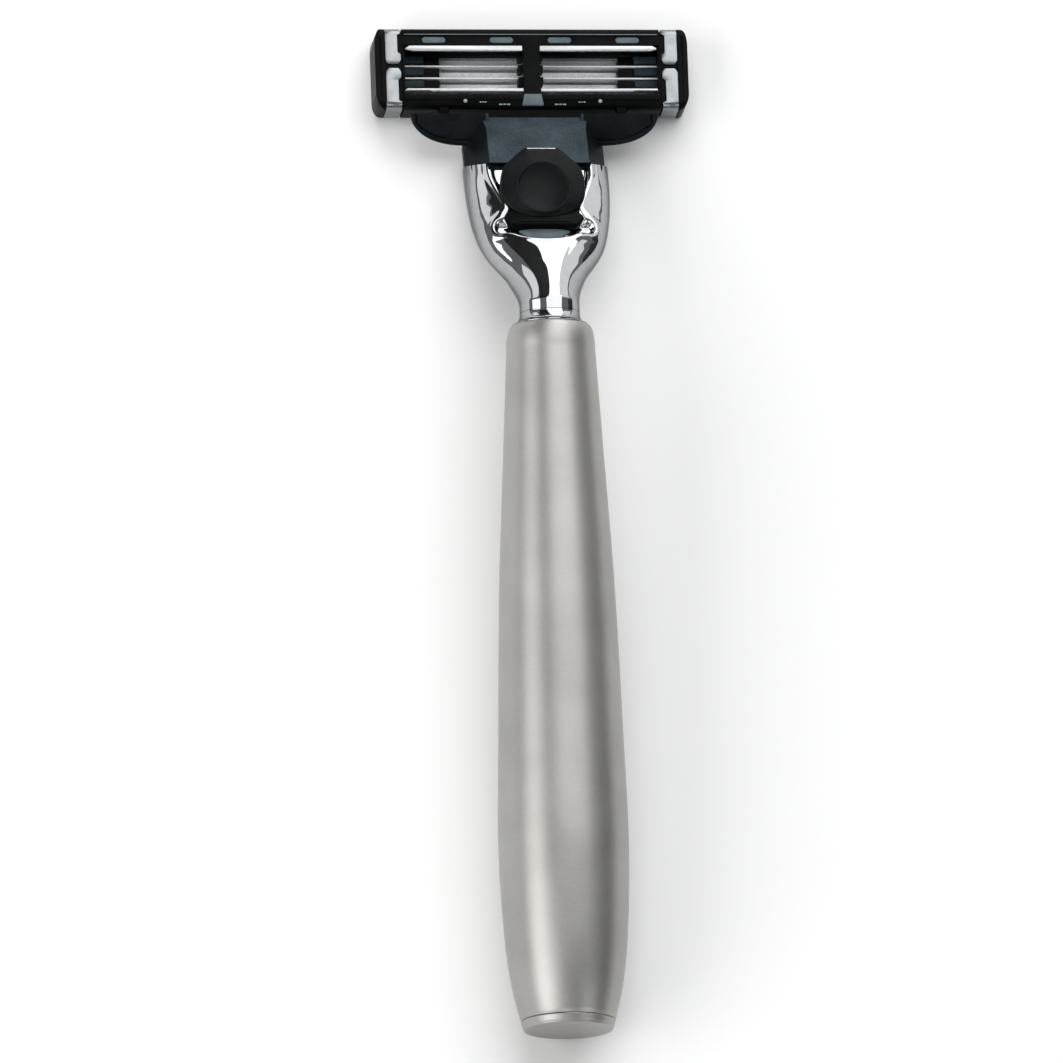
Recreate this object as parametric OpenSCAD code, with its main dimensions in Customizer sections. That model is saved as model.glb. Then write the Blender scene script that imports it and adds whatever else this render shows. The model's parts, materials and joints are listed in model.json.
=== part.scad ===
// Cartridge razor: a turned metal handle, a polished fork, a release button and a pivoting three-blade cartridge.
// It lies on its blades and on the belly of its handle. +X runs across, +Y towards the blades, +Z up, to the back.

/* [Handle] */
// Length of the turned handle, from the end face to its shoulder
handle_l = 95.3; // [80:0.1:120]
// Radius of the handle at its thickest
belly_r = 8.66; // [7:0.01:11]
// Radius of the end face
butt_r = 5.95; // [5:0.05:6.5]
// Radius of the handle at its top shoulder
shoulder_r = 5.2; // [4.9:0.05:6]
// Slope of the handle's axis when the razor lies down
lie_angle = 4.4; // [3:0.1:6]

/* [Fork] */
// Forward bend of the fork from the handle's axis
bend_angle = 29; // [20:1:35]
// Radius of the round neck
neck_r = 4; // [3.6:0.1:4.4]
// Half of the fork's width at its top
fork_hw = 9.6; // [9:0.1:10.5]
// Half of the fork's thickness at its top
fork_ht = 4.3; // [4:0.1:4.6]
// Distance from the bend to the fork's top
fork_l = 21.2; // [20:0.1:22]

/* [Release button] */
// Width of the button
button_w = 11.4; // [9:0.1:12]
// Length of the button
button_l = 10; // [9.6:0.1:10.6]
// Slope of the button's face
button_slope = 20; // [10:1:25]
// How far the button slides
button_travel = 4; // [2:0.5:5]

/* [Cartridge] */
// Width of the cartridge
cart_w = 42; // [40:0.1:44]
// Height of the cartridge, from guard to cap
cart_h = 11.3; // [11:0.1:12]
// Depth of the cartridge, from face to back
cart_d = 5.4; // [5.2:0.1:6]
// Distance between the blades
blade_pitch = 1.68; // [1.6:0.01:1.7]
// Angle that the cartridge tips through
pivot_range = 40; // [20:1:40]

/* [Hidden] */
$fn = 64;
eps = 0.01;
cut = 40;

// Where the handle rests: the belly touches the surface at the point whose slope equals lie_angle.
butt_z = 7.19;
// The cartridge's lower edge along +Y, measured from the centre of the end face.
cart_y = 128.2;
// The middle of the whole object along Y is the origin.
mid_y = (cart_y + cart_h - butt_r * sin(lie_angle)) / 2;
// The two axes cross here, along the handle.
bend_s = 98.2;

// Pivot axis of the cartridge, in the cartridge's own frame.
pivot_y = 0.6;
pivot_z = 0.3;
// The same axis in the fork's frame.
fork_slope = bend_angle - lie_angle;
pivot_dy = cart_y + pivot_y - bend_s * cos(lie_angle);
pivot_dz = pivot_z - butt_z - bend_s * sin(lie_angle);
pivot_fy = -pivot_dy * sin(fork_slope) - pivot_dz * cos(fork_slope);
pivot_fz = pivot_dy * cos(fork_slope) - pivot_dz * sin(fork_slope);

// ---- Frames ----
// Handle frame: z along the handle, y forward to the blades' side.
module in_handle() {
    translate([0, -mid_y, butt_z]) rotate([lie_angle - 90, 0, 0]) children();
}
// Fork frame: z along the fork, y forward.
module in_fork() {
    in_handle() translate([0, 0, bend_s]) rotate([-bend_angle, 0, 0]) children();
}
// Cartridge frame: y from guard to cap, z from face to back.
module in_cartridge() {
    translate([0, cart_y - mid_y, 0]) children();
}
// A box given by its lowest and highest corners.
module block(low, high) {
    translate(low) cube(high - low);
}
// A box that is symmetric across the object.
module wide_block(half_w, low, high) {
    block([-half_w, low[0], low[1]], [half_w, high[0], high[1]]);
}
module both_sides() {
    children();
    mirror([1, 0, 0]) children();
}
// A profile in the y-z plane, drawn out along x.
module across(half_w) {
    rotate([90, 0, 90]) linear_extrude(2 * half_w, center = true) children();
}
// A sector of a tube about the x axis. Angles run from the back (+z) towards the handle (-y).
module arc_strip(r_in, r_out, from_a, to_a, x0, x1) {
    translate([x0, 0, 0]) rotate([90, 0, 90]) linear_extrude(x1 - x0)
        polygon(concat(
            [for (i = [0:24]) let (a = from_a + (to_a - from_a) * i / 24) [-r_out * sin(a), r_out * cos(a)]],
            [for (i = [24:-1:0]) let (a = from_a + (to_a - from_a) * i / 24) [-r_in * sin(a), r_in * cos(a)]]));
}

// ---- Handle ----
// Stations along the handle: distance from the end face, and radius.
stations = [
    [0, butt_r], [6.2, 7.4], [13, 8.2], [24.5, belly_r], [40, 8.3], [60, 7.67], [80, 6.58], [92, 5.93],
];
function slope_at(i) =
    let (a = stations[max(i - 1, 0)], b = stations[min(i + 1, len(stations) - 1)]) (b[1] - a[1]) / (b[0] - a[0]);
// A smooth curve through two neighbouring stations.
function between(i, t) =
    let (a = stations[i], b = stations[i + 1], w = b[0] - a[0])
    (2*t*t*t - 3*t*t + 1) * a[1] + (t*t*t - 2*t*t + t) * w * slope_at(i)
    + (3*t*t - 2*t*t*t) * b[1] + (t*t*t - t*t) * w * slope_at(i + 1);
side_steps = 5;
side = [
    for (i = [0:len(stations) - 2], k = [0:side_steps - 1])
        [between(i, k / side_steps), stations[i][0] + (stations[i + 1][0] - stations[i][0]) * k / side_steps],
];
shoulder_start = stations[len(stations) - 1];
shoulder = [
    for (k = [0:8]) let (a = 90 * k / 8)
        [shoulder_r + (shoulder_start[1] - shoulder_r) * cos(a),
         shoulder_start[0] + (handle_l - shoulder_start[0]) * sin(a)],
];
cap_l = 1.24;
spigot_r = 4.2;
spigot_l = 8;
stud_r = 2;
stud_bottom = 82;
stud_top = 100.4;
fit_gap = 0.04;

module handle_sleeve() {
    color([0.76, 0.75, 0.74]) in_handle() difference() {
        rotate_extrude($fn = 96)
            polygon(concat([[0, cap_l]], [for (p = side) if (p[1] >= cap_l - eps) p], shoulder, [[0, handle_l]]));
        translate([0, 0, -1]) cylinder(r = spigot_r + fit_gap, h = 71);
        translate([0, 0, stud_bottom - 1]) cylinder(r = stud_r + fit_gap, h = cut);
    }
}

module end_cap() {
    color([0.74, 0.73, 0.72]) in_handle() {
        rotate_extrude($fn = 96)
            polygon([[0, 0], [butt_r - 0.25, 0], [butt_r, 0.25], [between(0, 0.2), cap_l], [0, cap_l]]);
        translate([0, 0, cap_l - eps]) cylinder(r = spigot_r, h = spigot_l);
    }
}

module threaded_stud() {
    color([0.6, 0.6, 0.62]) in_handle() rotate_extrude()
        polygon([
            [0, stud_bottom], [stud_r - 0.4, stud_bottom], [stud_r, stud_bottom + 0.4],
            [stud_r, stud_top - 0.4], [stud_r - 0.4, stud_top], [0, stud_top],
        ]);
}

collar_top = 97.1;
module neck_collar() {
    color([0.86, 0.86, 0.87]) in_handle() difference() {
        rotate_extrude($fn = 96)
            polygon(concat(
                [[0, handle_l + fit_gap], [shoulder_r - 0.1, handle_l + fit_gap]],
                [for (k = [0:8]) let (a = 90 * k / 8)
                    [shoulder_r - 0.1 - (shoulder_r - 0.1 - neck_r) * sin(a),
                     collar_top - (collar_top - handle_l - 0.3) * cos(a)]],
                [[0, collar_top]]));
        cylinder(r = stud_r + fit_gap, h = cut * 3);
    }
}

// ---- Fork ----
// Sections of the fork: distance from the bend, half width, half thickness, squareness and lean.
fork_sections = [
    [-1.05, neck_r, neck_r, 2, bend_angle], [-0.4, neck_r, neck_r, 2, bend_angle * 0.86],
    [0.4, neck_r + 0.02, neck_r - 0.02, 2, bend_angle * 0.66], [1.4, neck_r + 0.15, neck_r - 0.1, 2, bend_angle * 0.4],
    [2.8, neck_r + 0.5, neck_r - 0.2, 2.05, bend_angle * 0.14], [4.2, neck_r + 1, neck_r - 0.25, 2.1, 0],
    [5.6, neck_r + 1.6, neck_r - 0.2, 2.15, 0], [7, 6.45, 3.85, 2.2, 0], [8.4, 7.35, 3.9, 2.25, 0],
    [9.8, 8.05, 4, 2.35, 0], [11.3, 8.55, 4.1, 2.5, 0], [12.8, 8.9, 4.2, 2.6, 0],
    [15, 9.25, fork_ht, 2.8, 0], [18, fork_hw - 0.1, fork_ht, 3, 0], [fork_l, fork_hw, fork_ht, 3.2, 0],
    [fork_l + 3.22, fork_hw, fork_ht, 3.2, 0],
];
ring_n = 40;
function power(v, e) = sign(v) * pow(abs(v), e);
function section(s) = [
    for (k = [0:ring_n - 1])
        let (a = 360 * k / ring_n, x = s[1] * power(cos(a), 2 / s[3]), y = s[2] * power(sin(a), 2 / s[3]),
             cy = s[0] < 0 ? -s[0] * sin(bend_angle) : 0, cz = s[0] < 0 ? s[0] * cos(bend_angle) : s[0])
        [x, cy + y * cos(s[4]), cz + y * sin(s[4])],
];
module loft(sections) {
    n = len(sections);
    points = [for (s = sections) each section(s)];
    sides = [
        for (i = [0:n - 2], k = [0:ring_n - 1]) let (a = i * ring_n + k, b = i * ring_n + (k + 1) % ring_n)
            each [[a, a + ring_n, b], [b, a + ring_n, b + ring_n]],
    ];
    polyhedron(points, concat(
        [[for (k = [0:ring_n - 1]) k]], sides, [[for (k = [ring_n - 1:-1:0]) (n - 1) * ring_n + k]]));
}

// The pocket for the button and the cavity for the nose insert.
floor_y = -2.4;
pocket_hw = 7.6;
pocket_bottom = 8.2;
// The arms are cut off at a slant: low at the back, higher at the middle of their thickness.
slant = 35;
arm_back = -4.6;
arm_top = fork_l - arm_back * tan(slant);
insert_hw = 5;
insert_front = 1.5;
insert_bottom = 9.6;
module pocket_outline() {
    hull() {
        translate([0, fork_l + 5]) square([2 * pocket_hw, 2], center = true);
        for (k = [-1, 1]) translate([k * (pocket_hw - 2.1), pocket_bottom + 2.6]) circle(1.4, $fn = 32);
        translate([0, pocket_bottom + 7]) circle(7, $fn = 64);
    }
}
module fork_head() {
    color([0.9, 0.9, 0.91]) in_fork() difference() {
        loft(fork_sections);
        translate([0, floor_y, 0]) rotate([90, 0, 0]) linear_extrude(cut) pocket_outline();
        wide_block(insert_hw + fit_gap, [floor_y - 1, insert_bottom - fit_gap], [insert_front + fit_gap, cut]);
        translate([0, arm_back, fork_l]) rotate([slant, 0, 0]) block([-cut, -cut, 0], [cut, cut, cut]);
        rotate([bend_angle, 0, 0]) translate([0, 0, -cut])
            cylinder(r = stud_r + fit_gap, h = cut + stud_top - bend_s + 0.1);
    }
}

// The plastic insert: its block fills the fork's cavity and its nose takes the cartridge.
nose_hw = 6.8;
nose_front = 1.3;
nose_top = 27.2;
plunger_r = 0.9;
plunger_y = -0.9;
spring_x = 3.2;
spring_r = 0.75;
groove_bottom = 10.6;
groove_top = 20.6;
module nose_insert() {
    color([0.07, 0.08, 0.08]) in_fork() difference() {
        union() {
            wide_block(insert_hw, [floor_y, insert_bottom], [insert_front, arm_top]);
            wide_block(insert_hw, [floor_y, arm_top - eps], [nose_front, nose_top - 1]);
            wide_block(nose_hw, [floor_y, arm_top + 0.1], [nose_front, nose_top - 1]);
            wide_block(nose_hw - 1, [floor_y + 0.4, arm_top + 0.1], [nose_front - 0.4, nose_top]);
        }
        translate([0, plunger_y, insert_bottom + 0.5]) cylinder(r = plunger_r + fit_gap, h = cut);
        both_sides() block([spring_x - 0.85, floor_y - 1, groove_bottom], [spring_x + 0.85, floor_y + 1.7, groove_top]);
    }
}

// ---- Release button and its slide ----
slide_back = -3.7;
slide_bottom = 11.3;
slide_top = 21.9;
slide_hw = 5.3;
slide_top_hw = 4.4;
tab_z = 11.5;
button_z = 16.2;
button_y = -5.7;
button_down = 4.15;
button_up = button_l - button_down;
button_flat_hw = 2.27;
function button_point(a) =
    let (x = button_w / 2 * power(cos(a), 0.88), reach = a < 180 ? button_up + 0.35 : button_down)
    [x, min(reach * power(sin(a), 0.88), button_up, button_up - 0.9 * (abs(x) - button_flat_hw))];
module button_outline() {
    polygon([for (a = [0:6:354]) button_point(a)]);
}
module release_button() {
    color([0.09, 0.1, 0.1]) in_fork() difference() {
        intersection() {
            translate([0, button_y, button_z]) rotate([90 + button_slope, 0, 0]) translate([0, 0, -6])
                linear_extrude(6) button_outline();
            union() {
                wide_block(20, [-20, 0], [slide_back - 0.05, fork_l - 0.1]);
                wide_block(20, [-20, fork_l - 0.2], [hood_back - 0.4, fork_l + 4]);
            }
        }
        translate([0, button_y, button_z - 0.3]) rotate([90 + button_slope, 0, 0]) translate([0, 0, 11.45])
            sphere(12, $fn = 96);
    }
}
module ejector_slide() {
    color([0.06, 0.07, 0.07]) in_fork() {
        translate([0, floor_y - 0.06, 0]) rotate([90, 0, 0]) linear_extrude(floor_y - 0.06 - slide_back)
            polygon([
                [-slide_hw + 1, slide_bottom], [slide_hw - 1, slide_bottom], [slide_hw, slide_bottom + 1],
                [slide_hw, 13], [slide_top_hw, 14.2], [slide_top_hw, slide_top],
                [-slide_top_hw, slide_top], [-slide_top_hw, 14.2], [-slide_hw, 13], [-slide_hw, slide_bottom + 1],
            ]);
        both_sides() block([spring_x - 0.7, floor_y - 0.5, tab_z], [spring_x + 0.7, floor_y + 1.4, tab_z + 0.9]);
    }
}

// A coil spring as one swept wire, with its axis along z.
module coil(r, wire, length, turns) {
    steps = 12;
    sides = 6;
    rings = turns * steps;
    points = [
        for (i = [0:rings]) let (a = 360 * i / steps, z = wire + (length - 2 * wire) * i / rings)
            for (k = [0:sides - 1]) let (b = 360 * k / sides, q = r - wire + wire * cos(b))
                [q * cos(a), q * sin(a), z + wire * sin(b)],
    ];
    faces = [
        for (i = [0:rings - 1], k = [0:sides - 1])
            let (a = i * sides + k, b = i * sides + (k + 1) % sides)
            each [[a, a + sides, b], [b, a + sides, b + sides]],
    ];
    polyhedron(points, concat(
        [[for (k = [0:sides - 1]) k]], faces, [[for (k = [sides - 1:-1:0]) rings * sides + k]]));
}
module button_springs() {
    bottom = tab_z + 0.9 + button_travel + 0.1;
    color([0.7, 0.7, 0.72]) in_fork() both_sides()
        translate([spring_x, floor_y + 0.85, bottom]) coil(spring_r, 0.14, groove_top - bottom - 0.05, 7);
}

// ---- Plunger ----
// The cam on the cartridge is the involute of this circle, so the plunger moves in proportion to the tilt.
cam_r = 1.8;
cam_reach = 3.9;
plunger_top = pivot_fz - cam_reach - 0.02;
plunger_bottom = 16;
plunger_travel = cam_r * pivot_range * PI / 180;
module plunger() {
    color([0.1, 0.1, 0.11]) in_fork() translate([0, plunger_y, 0]) rotate_extrude()
        polygon([
            [0, plunger_bottom], [plunger_r - 0.2, plunger_bottom], [plunger_r, plunger_bottom + 0.2],
            [plunger_r, plunger_top], [0, plunger_top],
        ]);
}
module plunger_spring() {
    color([0.7, 0.7, 0.72]) in_fork() translate([0, plunger_y, insert_bottom + 0.55])
        coil(plunger_r - 0.06, 0.16, plunger_bottom - plunger_travel - insert_bottom - 0.65, 7);
}

// ---- Interconnect: hood, two wings and the rails that the cartridge turns on ----
hood_hw = 9.4;
hood_back = -4.6;
hood_back_hw = 6.7;
hood_bottom = fork_l + 0.2;
hood_front = 4.1;
hood_edge_z = 27.5;
hood_top_y = -4;
hood_top_z = 29.94;
sweep_r = 5.6;
wing_in = 5.7;
wing_r = 6.6;
wing_hw = 16.6;
wing_x0 = 6.2;
rail_in = 4;
rail_out = 4.7;
rail_x0 = 11.3;
rail_x1 = 12.5;
lowest = 0.6;
module about_pivot() {
    in_cartridge() translate([0, pivot_y, pivot_z]) children();
}
module hood() {
    difference() {
        in_fork() intersection() {
            across(hood_hw) polygon([
                [hood_back, hood_bottom], [hood_back, hood_edge_z], [hood_top_y, hood_top_z],
                [hood_front, pivot_fz], [hood_front, arm_top + 0.2], [0, arm_top + 0.2],
            ]);
            linear_extrude(cut) polygon([
                [-hood_back_hw, hood_back], [hood_back_hw, hood_back], [hood_hw, -0.4], [hood_hw, 0.8],
                [hood_back_hw, hood_front], [-hood_back_hw, hood_front], [-hood_hw, 0.8], [-hood_hw, -0.4],
            ]);
        }
        about_pivot() rotate([0, 90, 0]) cylinder(r = sweep_r, h = cut, center = true);
        in_fork() wide_block(nose_hw + 0.25, [floor_y - 0.25, 0], [nose_front + 0.25, nose_top + 0.25]);
        in_fork() translate([0, plunger_y, 0]) cylinder(r = plunger_r + 0.12, h = cut);
        translate([-cut, -cut, lowest - cut]) cube([2 * cut, 3 * cut, cut]);
    }
}
// Seen square on, the wing's lower edge is a quarter of an ellipse, from the hood to the wing's tip.
wing_view = 40;
wing_from = 17;
wing_to = 57;
module wing_outline() {
    top = wing_r * sin(wing_view - wing_from);
    drop = top + wing_r * sin(wing_to - wing_view);
    polygon(concat(
        [[wing_x0 - 0.1, top + 1], [wing_hw, top + 1]],
        [for (a = [0:5:90]) [hood_hw + (wing_hw - hood_hw) * cos(a), top - drop * sin(a)]],
        [[wing_x0 - 0.1, top - drop]]));
}
module wing() {
    about_pivot() intersection() {
        arc_strip(wing_in, wing_r, wing_from, wing_to + 5, wing_x0, wing_hw);
        rotate([wing_view, 0, 0]) linear_extrude(cut) wing_outline();
    }
}
module rail() {
    about_pivot() {
        arc_strip(rail_in, rail_out, 4, 53, rail_x0, rail_x1);
        arc_strip(rail_out - eps, sweep_r + 0.3, 48.5, 53, rail_x0, rail_x1);
    }
}
module interconnect() {
    color([0.3, 0.36, 0.39]) {
        hood();
        both_sides() wing();
        both_sides() rail();
    }
}

// ---- Cartridge ----
clip_x0 = 17.3;
clip_x1 = 19.6;
clip_t = 0.28;
bay_hw = 18.2;
bay_y0 = 2.3;
bay_y1 = 8.6;
window_x0 = 1.1;
window_x1 = 17.35;
window_y0 = 2.35;
window_y1 = 8.85;
web_z = 4.05;
corner_r = 1.1;
module rounded_profile(inset, r) {
    hull() for (y = [inset + r, cart_h - inset - r], z = [inset + r, cart_d - inset - r])
        translate([y, z]) circle(r, $fn = 32);
}
// One end of the housing, with its outer corners rounded as seen from the back.
module housing_end() {
    intersection() {
        across(cart_w / 2) rounded_profile(0, corner_r);
        block([clip_x1 + eps, -1, -1], [cart_w, cart_h + 1, cart_d + 1]);
        linear_extrude(cart_d) hull() {
            translate([clip_x1, 0]) square([0.1, cart_h]);
            translate([cart_w / 2 - 1, cart_h - 1]) circle(1, $fn = 32);
            translate([cart_w / 2 - 1, 1.8]) circle(1, $fn = 32);
            translate([cart_w / 2 - 1.9, 0.7]) circle(0.7, $fn = 32);
        }
    }
}
finger_x0 = 14.1;
finger_z = 1.65;
module fingers() {
    for (i = [0:2]) both_sides() {
        block([finger_x0, leg_y(i) + 0.45, finger_z], [clip_x0 + 1, leg_y(i) + 1.2, finger_z + 1]);
        block([finger_x0 - 2.1, leg_y(i) + 0.45, finger_z], [finger_x0 + eps, leg_y(i) + 1.2, finger_z + 0.5]);
    }
}
module cam_pad() {
    // The involute, turned into the cartridge's frame, closed by a straight back inside the housing.
    edge = [for (a = [0:4:pivot_range + 4])
        let (l = cam_reach + cam_r * a * PI / 180,
             fy = -cam_r * cos(a) - l * sin(a), fz = cam_r * sin(a) - l * cos(a))
        [fz * cos(fork_slope) - fy * sin(fork_slope), -fz * sin(fork_slope) - fy * cos(fork_slope)]];
    translate([0, pivot_y, pivot_z]) across(1.45)
        polygon(concat([[-0.3, 2.6]], edge, [[0.8, 4.9]]));
}
module cartridge_housing() {
    color([0.05, 0.055, 0.055]) in_cartridge() {
        difference() {
            union() {
                across(clip_x0 - 0.02) rounded_profile(0, corner_r);
                across(clip_x1 + 0.05) rounded_profile(clip_t + 0.03, corner_r - clip_t);
                both_sides() housing_end();
            }
            wide_block(bay_hw, [bay_y0, -1], [bay_y1, web_z - 0.15]);
            both_sides() block([window_x0, window_y0, web_z - 0.2], [window_x1, window_y1, cart_d + 1]);
            wide_block(guard_hw + 0.05, [0.2, -1], [bay_y0 + 1, 0.95]);
            wide_block(strip_hw + 0.05, [strip_y0 - 0.05, -1], [strip_y1 + 0.05, 1.25]);
            both_sides() translate([0, pivot_y, pivot_z])
                arc_strip(rail_in - 0.05, rail_out + 0.05, -38, 60, rail_x0 - 0.2, rail_x1 + 0.2);
        }
        fingers();
        cam_pad();
    }
}

guard_hw = 16.9;
module guard_strip() {
    color([0.12, 0.13, 0.14]) in_cartridge() difference() {
        wide_block(guard_hw, [0.25, 0], [2.2, 0.9]);
        for (k = [0:3]) wide_block(guard_hw - 0.5, [0.5 + 0.42 * k, -1], [0.7 + 0.42 * k, 0.35]);
    }
}
strip_hw = 16.9;
strip_y0 = 9;
strip_y1 = 10.85;
module lubricating_strip() {
    color([0.72, 0.8, 0.82]) in_cartridge() across(strip_hw) polygon([
        [strip_y0, 0.35], [strip_y0 + 0.3, 0.05], [strip_y1 - 0.5, 0.2], [strip_y1, 0.6],
        [strip_y1, 1.2], [strip_y0, 1.2],
    ]);
}
// Bright bars along the top and bottom edge of both windows.
bar_w = 0.85;
bar_t = 0.35;
bar_z = cart_d - 0.45;
module inner_bars() {
    color([0.85, 0.86, 0.87]) in_cartridge() both_sides() {
        block([window_x0, window_y1 - bar_w, bar_z], [window_x1 - 0.4, window_y1, bar_z + bar_t]);
        block([window_x0, window_y0, bar_z], [finger_x0 - 0.8, window_y0 + bar_w * 0.6, bar_z + bar_t]);
    }
}

// Each clip is one bent strip: round the face, the guard edge and the cap edge, with a gap at the back.
clip_gap = 0.55;
clip_split_y = 5.9;
module clip() {
    difference() {
        translate([(clip_x0 + clip_x1) / 2, 0, 0]) across((clip_x1 - clip_x0) / 2) difference() {
            rounded_profile(0, corner_r);
            rounded_profile(clip_t, corner_r - clip_t);
        }
        block([0, clip_split_y - clip_gap / 2, cart_d / 2], [cart_w, clip_split_y + clip_gap / 2, cart_d + 1]);
    }
}
module clip_left() {
    color([0.85, 0.86, 0.87]) in_cartridge() mirror([1, 0, 0]) clip();
}
module clip_right() {
    color([0.85, 0.86, 0.87]) in_cartridge() clip();
}

// Blades: each sits on the sloping plate of a bent support whose leg points to the back.
blade_hw = 18;
leg_y1 = 3.55;
leg_t = 0.25;
leg_back = 2.4;
plate_slope = 22;
plate_l = 1.5;
plate_z = 0.36;
blade_t = 0.1;
blade_reach = 0.65;
blade_l = 1.4;
function leg_y(i) = leg_y1 + i * blade_pitch;
module blade_support(i) {
    color([0.8, 0.81, 0.82]) in_cartridge() across(blade_hw) translate([leg_y(i), plate_z]) {
        translate([-leg_t, 0]) square([leg_t, leg_back - plate_z]);
        rotate(plate_slope) translate([-leg_t, 0]) square([plate_l, leg_t]);
    }
}
module blade(i) {
    color([0.9, 0.91, 0.92]) in_cartridge() across(blade_hw - 0.8)
        translate([leg_y(i), plate_z]) rotate(plate_slope) translate([-blade_reach, -0.02 - blade_t])
            polygon([[0, blade_t], [0.35, 0], [blade_l, 0], [blade_l, blade_t]]);
}
module blade_support_1() { blade_support(0); }
module blade_support_2() { blade_support(1); }
module blade_support_3() { blade_support(2); }
module blade_1() { blade(0); }
module blade_2() { blade(1); }
module blade_3() { blade(2); }

handle_sleeve();
end_cap();
threaded_stud();
neck_collar();
fork_head();
nose_insert();
release_button();
ejector_slide();
button_springs();
plunger();
plunger_spring();
interconnect();
cartridge_housing();
guard_strip();
lubricating_strip();
inner_bars();
clip_left();
clip_right();
blade_support_1();
blade_support_2();
blade_support_3();
blade_1();
blade_2();
blade_3();
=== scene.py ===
"""Looks of the cartridge razor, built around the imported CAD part. Lengths in the code are millimetres."""

import json
import math

import bmesh
import bpy
import numpy as np
from mathutils import Matrix, Vector


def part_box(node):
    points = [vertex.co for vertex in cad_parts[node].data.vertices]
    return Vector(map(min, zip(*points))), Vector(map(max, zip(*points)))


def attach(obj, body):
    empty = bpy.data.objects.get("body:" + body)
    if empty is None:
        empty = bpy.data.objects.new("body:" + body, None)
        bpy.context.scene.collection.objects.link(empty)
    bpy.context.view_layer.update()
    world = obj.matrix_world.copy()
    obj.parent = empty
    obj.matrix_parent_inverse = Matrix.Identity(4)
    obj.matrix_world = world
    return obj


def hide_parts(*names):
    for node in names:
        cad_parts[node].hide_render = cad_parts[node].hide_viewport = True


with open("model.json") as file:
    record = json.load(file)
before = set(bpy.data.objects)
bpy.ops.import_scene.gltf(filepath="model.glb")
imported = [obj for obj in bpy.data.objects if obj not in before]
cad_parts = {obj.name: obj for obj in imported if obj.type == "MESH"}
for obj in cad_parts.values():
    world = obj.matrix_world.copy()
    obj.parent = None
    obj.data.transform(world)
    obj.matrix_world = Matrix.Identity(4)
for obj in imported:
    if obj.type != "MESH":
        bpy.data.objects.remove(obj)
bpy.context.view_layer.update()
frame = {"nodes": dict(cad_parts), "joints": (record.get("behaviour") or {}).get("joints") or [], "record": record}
MM = 0.001


# ---- Frames: the same ones that the CAD part is drawn in ----
def place(origin, z_axis):
    """Matrix from a local frame in mm to world metres. Its x is the world's x."""
    z = Vector(z_axis).normalized()
    y = z.cross(Vector((1, 0, 0)))
    rows = [[(1, 0, 0)[i] * MM, y[i] * MM, z[i] * MM, origin[i]] for i in range(3)]
    return Matrix(rows + [[0, 0, 0, 1]])


MOUNTS = {m["name"]: m for m in frame["record"]["mounts"]}
JOINTS = {j["name"]: j for j in frame["joints"]}
HANDLE = place(MOUNTS["end_face"]["pos_m"], [-v for v in MOUNTS["end_face"]["axis"]])
FORK = place(MOUNTS["neck_hang"]["pos_m"], JOINTS["button_press"]["axis"])
CARTRIDGE = place((0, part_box("clip_left")[0].y, 0), (0, 0, 1))
PIVOT = place(JOINTS["blade_pivot"]["pos_m"], (0, 0, 1))


# ---- Mesh helpers ----
def smoothstep(t):
    t = np.clip(t, 0, 1)
    return t * t * (3 - 2 * t)


def bump_at(d, centre, width):
    """A smooth bump of height 1 round centre."""
    return np.exp(-(((d - centre) / width) ** 2))


def smooth_curve(xs, ys, at):
    """Cubic Hermite curve through stations, with slopes from the neighbours."""
    xs, ys, at = np.asarray(xs, float), np.asarray(ys, float), np.asarray(at, float)
    i = np.clip(np.searchsorted(xs, at, side="right") - 1, 0, len(xs) - 2)
    last = len(xs) - 1
    before = [max(k - 1, 0) for k in range(len(xs))]
    after = [min(k + 1, last) for k in range(len(xs))]
    slopes = (ys[after] - ys[before]) / (xs[after] - xs[before])
    w = xs[i + 1] - xs[i]
    t = (at - xs[i]) / w
    return ((2 * t**3 - 3 * t**2 + 1) * ys[i] + (t**3 - 2 * t**2 + t) * w * slopes[i]
            + (3 * t**2 - 2 * t**3) * ys[i + 1] + (t**3 - t**2) * w * slopes[i + 1])


def mesh_object(name, points, faces, matrix, smooth_angle=32):
    """A mesh from points in mm in the frame that matrix gives."""
    mesh = bpy.data.meshes.new(name)
    mesh.from_pydata([matrix @ Vector(p) for p in points], [], [list(f) for f in faces])
    mesh.validate()
    shade(mesh, smooth_angle)
    obj = bpy.data.objects.new(name, mesh)
    bpy.context.scene.collection.objects.link(obj)
    return obj


def shade(mesh, smooth_angle):
    """Smooth shading, with edges sharper than the angle kept sharp."""
    mesh.polygons.foreach_set("use_smooth", [True] * len(mesh.polygons))
    mesh.set_sharp_from_angle(angle=math.radians(smooth_angle))
    mesh.update()


def grid_faces(rows, columns, closed=True, flip=False, start=0):
    """Faces of a grid of points, row by row. closed joins the last column to the first."""
    faces = []
    for i in range(rows - 1):
        for k in range(columns if closed else columns - 1):
            a, b = start + i * columns + k, start + i * columns + (k + 1) % columns
            face = (a, b, b + columns, a + columns)
            faces.append(face[::-1] if flip else face)
    return faces


def revolve(name, profile, matrix, around=192):
    """Turns a profile of (radius, height) about the local z axis and closes both ends."""
    points, rows = [], [p for p in profile if p[0] > 0.001]
    for r, h in rows:
        for k in range(around):
            a = math.tau * k / around
            points.append((r * math.cos(a), r * math.sin(a), h))
    faces = grid_faces(len(rows), around)
    faces.append(tuple(range(around))[::-1])
    faces.append(tuple((len(rows) - 1) * around + k for k in range(around)))
    return mesh_object(name, points, faces, matrix)


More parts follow.
